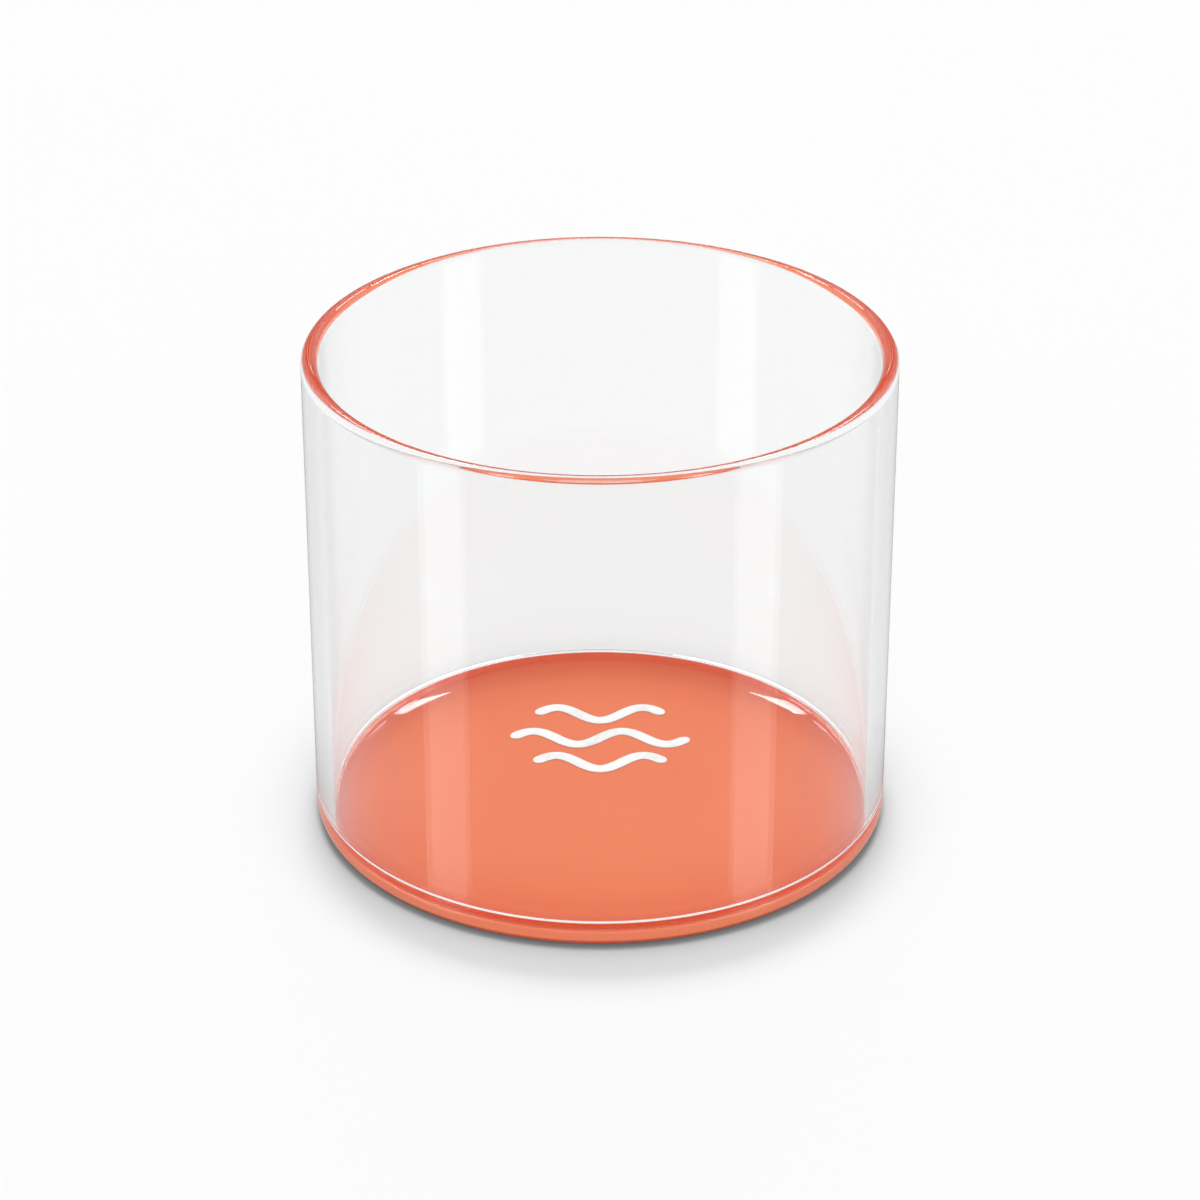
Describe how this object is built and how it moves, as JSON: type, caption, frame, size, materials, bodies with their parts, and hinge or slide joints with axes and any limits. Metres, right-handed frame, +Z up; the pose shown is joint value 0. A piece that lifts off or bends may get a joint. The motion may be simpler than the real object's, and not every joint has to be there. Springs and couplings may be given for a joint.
{
  "type": "water glass",
  "caption": "Low straight-sided water glass: clear round wall with a fire-polished rim, sealed to an opaque coral base with a dished floor and a flat standing ring.",
  "frame": {"origin": "centre of the circle that the glass stands on", "axes": "+Z up along the glass's axis, from the standing face to the rim; the glass is round, so +X and +Y are any two level directions"},
  "size_m": [0.08, 0.08, 0.0693],
  "materials": {
    "coral_glass": "opaque coral glass, glossy",
    "clear_seal": "clear fused glass, glossy",
    "clear_glass": "clear glass, fire-polished"
  },
  "bodies": {
    "root": {"coral_base": "coral_glass", "seal_ring": "clear_seal", "glass_wall": "clear_glass"}
  },
  "joints": []
}
